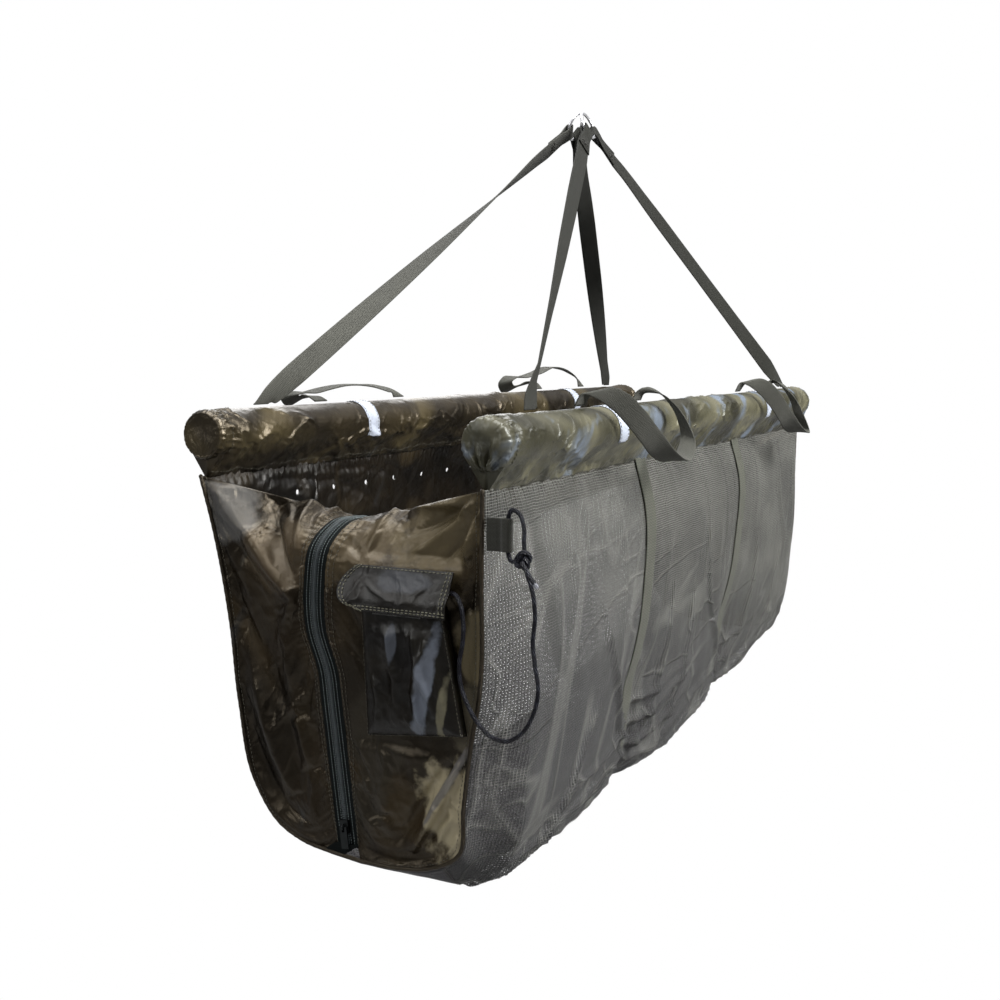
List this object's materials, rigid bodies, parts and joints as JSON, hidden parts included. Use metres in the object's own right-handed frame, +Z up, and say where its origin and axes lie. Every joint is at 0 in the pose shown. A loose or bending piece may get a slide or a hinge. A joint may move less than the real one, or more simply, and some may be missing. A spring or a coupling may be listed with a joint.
{
  "type": "floating retainer sling",
  "caption": "Mesh and camouflage fabric bag hung between padded floats, with lift straps, carrying handles, end zips and a cord pocket.",
  "frame": {"origin": "the hook point: the top of the opening in the two weigh rings, where a scale's hook holds the sling", "axes": "+X along the floats, away from the end with the cord pocket; +Y across the mouth towards the float over the solid skirt; +Z up"},
  "size_m": [1.2285, 0.4294, 0.8754],
  "materials": {
    "camouflage": "glossy coated polyester, dark camouflage",
    "mesh": "soft fine mesh",
    "floor": "double layer of fine mesh",
    "webbing": "woven olive webbing",
    "pale_webbing": "woven olive webbing, paler",
    "reflective": "retroreflective tape",
    "foam": "closed-cell foam",
    "chrome": "polished",
    "metal": "dark plated",
    "zip": "moulded coil",
    "tape": "woven tape",
    "patch": "hook and loop",
    "cord": "braided cord"
  },
  "bodies": {
    "bag": {"cord_hank": "cord", "cord_knot": "cord", "cord_loop": "cord", "cord_tab": "webbing", "cord_tail": "cord", "floor_panel": "floor", "front_belly_strap": "pale_webbing", "front_left_end_panel": "camouflage", "front_left_zip_tape": "tape", "front_right_end_panel": "camouflage", "front_right_zip_tape": "tape", "front_zip_coil": "zip", "left_float_core": "foam", "left_float_sleeve": "camouflage", "left_front_end_cap": "camouflage", "left_front_reflective_band": "reflective", "left_mesh_side": "mesh", "left_rear_end_cap": "camouflage", "left_rear_reflective_band": "reflective", "left_skirt": "camouflage", "pocket_pouch": "camouflage", "pouch_loop_patch": "patch", "rear_belly_strap": "pale_webbing", "rear_left_end_panel": "camouflage", "rear_left_zip_tape": "tape", "rear_right_end_panel": "camouflage", "rear_right_zip_tape": "tape", "rear_zip_coil": "zip", "retention_cord": "cord", "right_float_core": "foam", "right_float_sleeve": "camouflage", "right_front_end_cap": "camouflage", "right_front_reflective_band": "reflective", "right_mesh_side": "mesh", "right_rear_end_cap": "camouflage", "right_rear_reflective_band": "reflective"},
    "pocket_flap": {"pocket_flap": "camouflage", "flap_hook_patch": "patch"},
    "front_slider": {"front_zip_slider": "metal"},
    "front_pull": {"front_zip_pull": "metal"},
    "rear_slider": {"rear_zip_slider": "metal"},
    "rear_pull": {"rear_zip_pull": "metal"},
    "left_lift": {"left_front_lift_strap": "webbing", "left_rear_lift_strap": "webbing", "left_weigh_ring": "chrome"},
    "right_lift": {"right_front_lift_strap": "webbing", "right_rear_lift_strap": "webbing", "right_weigh_ring": "chrome"},
    "left_front_handle": {"left_front_handle": "webbing"},
    "left_rear_handle": {"left_rear_handle": "webbing"},
    "right_front_handle": {"right_front_handle": "webbing"},
    "right_rear_handle": {"right_rear_handle": "webbing"}
  },
  "joints": [
    {"name": "flap_hinge", "type": "hinge", "parent": "bag", "child": "pocket_flap", "pos_m": [-0.6024, -0.034, -0.511], "axis": [0, 1, 0], "range_deg": [0, 150]},
    {"name": "front_zip_run", "type": "slide", "parent": "bag", "child": "front_slider", "axis": [0, 0.1189, 0.9929], "range_m": [0, 0.11]},
    {"name": "front_pull_hinge", "type": "hinge", "parent": "front_slider", "child": "front_pull", "pos_m": [-0.6058, -0.00966, -0.76805], "axis": [0, 0.9929, -0.1189], "range_deg": [0, 150]},
    {"name": "rear_zip_run", "type": "slide", "parent": "bag", "child": "rear_slider", "axis": [0, 0.1189, 0.9929], "range_m": [0, 0.11]},
    {"name": "rear_pull_hinge", "type": "hinge", "parent": "rear_slider", "child": "rear_pull", "pos_m": [0.6058, -0.00966, -0.76805], "axis": [0, -0.9929, 0.1189], "range_deg": [0, 150]},
    {"name": "left_lift_swing", "type": "hinge", "parent": "bag", "child": "left_lift", "pos_m": [0, 0.157, -0.3702], "axis": [-1, 0, 0], "range_deg": [0, 80]},
    {"name": "right_lift_swing", "type": "hinge", "parent": "bag", "child": "right_lift", "pos_m": [0, -0.157, -0.3702], "axis": [1, 0, 0], "range_deg": [0, 80]},
    {"name": "left_front_handle_swing", "type": "hinge", "parent": "bag", "child": "left_front_handle", "pos_m": [-0.3, 0.157, -0.3702], "axis": [1, 0, 0], "range_deg": [0, 100]},
    {"name": "left_rear_handle_swing", "type": "hinge", "parent": "bag", "child": "left_rear_handle", "pos_m": [0.3, 0.157, -0.3702], "axis": [1, 0, 0], "range_deg": [0, 100]},
    {"name": "right_front_handle_swing", "type": "hinge", "parent": "bag", "child": "right_front_handle", "pos_m": [-0.3, -0.157, -0.3702], "axis": [-1, 0, 0], "range_deg": [0, 120]},
    {"name": "right_rear_handle_swing", "type": "hinge", "parent": "bag", "child": "right_rear_handle", "pos_m": [0.3, -0.157, -0.3702], "axis": [-1, 0, 0], "range_deg": [0, 120]}
  ]
}
